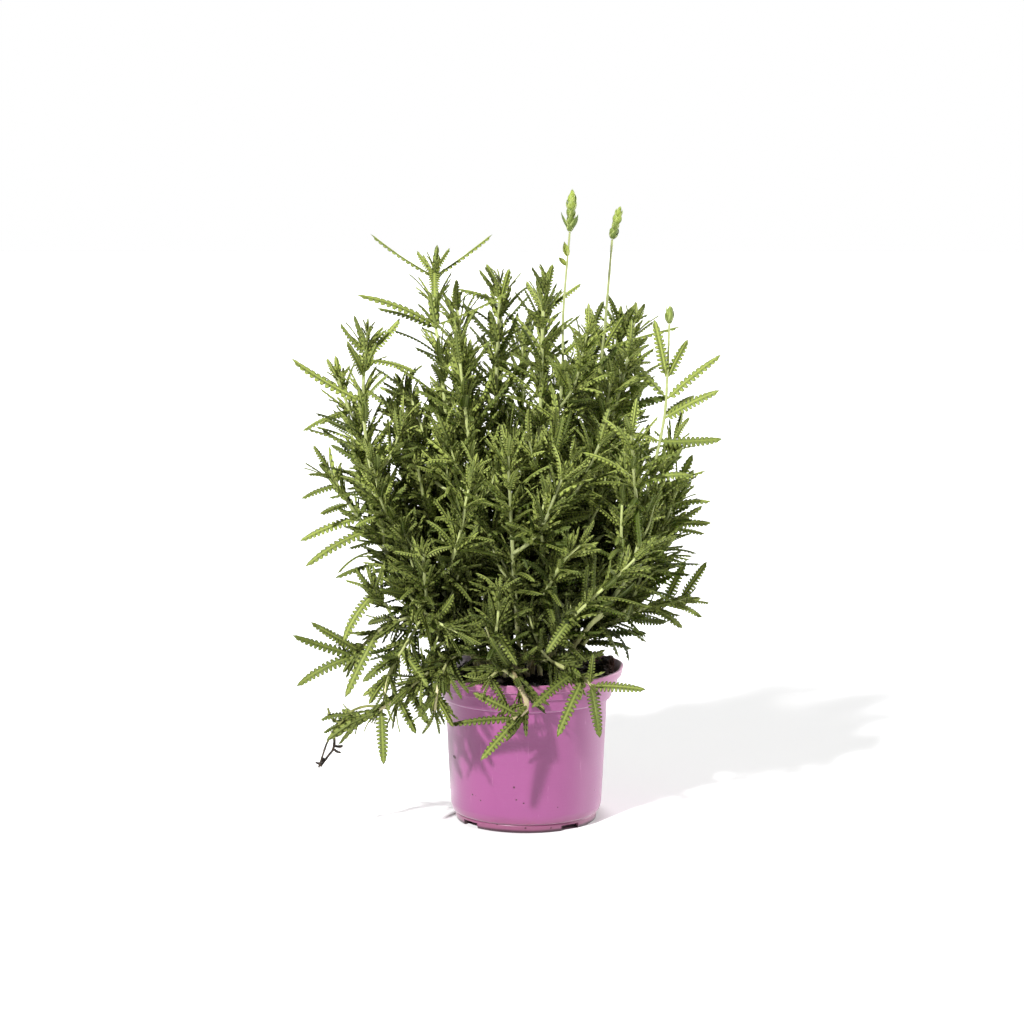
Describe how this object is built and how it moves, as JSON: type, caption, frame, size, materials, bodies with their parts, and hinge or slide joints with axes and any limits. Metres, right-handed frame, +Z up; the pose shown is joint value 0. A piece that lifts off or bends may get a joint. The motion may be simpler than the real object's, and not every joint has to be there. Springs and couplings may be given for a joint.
{
  "type": "potted lavender",
  "caption": "Toothed-leaf lavender in a small round plastic nursery pot: a loose bush of square leafy stems standing in soil, with green unopened flower spikes on long stalks.",
  "frame": {"origin": "middle of the pot's underside, in the plane that the foot rests on", "axes": "+Z up along the pot's axis; -Y faces the picture's camera; +X to the right in the picture"},
  "size_m": [0.274, 0.2349, 0.4153],
  "materials": {
    "pot_plastic": "satin",
    "soil": "matte",
    "foliage": "matte",
    "flower_green": "matte"
  },
  "bodies": {
    "root": {"pot": "pot_plastic", "soil": "soil", "flower_stem_tall": "foliage", "flower_stem_right": "foliage", "bud_stem_right": "foliage", "stem_tall_left": "foliage", "stem_left": "foliage", "stem_left_back": "foliage", "stem_top_left": "foliage", "stem_top": "foliage", "stem_top_right": "foliage", "stem_right_mid": "foliage", "stem_right_low": "foliage", "stem_right_back": "foliage", "stem_left_mid": "foliage", "stem_left_hanging": "foliage", "stem_left_low": "foliage", "stem_front_hook": "foliage", "stem_front_right": "foliage", "stem_01": "foliage", "stem_02": "foliage", "stem_03": "foliage", "stem_04": "foliage", "stem_05": "foliage", "stem_06": "foliage", "stem_07": "foliage", "stem_08": "foliage", "stem_09": "foliage", "stem_10": "foliage", "stem_11": "foliage", "stem_12": "foliage", "stem_13": "foliage", "flower_head_tall": "flower_green", "flower_head_right": "flower_green", "flower_bud_right": "flower_green"}
  },
  "joints": []
}
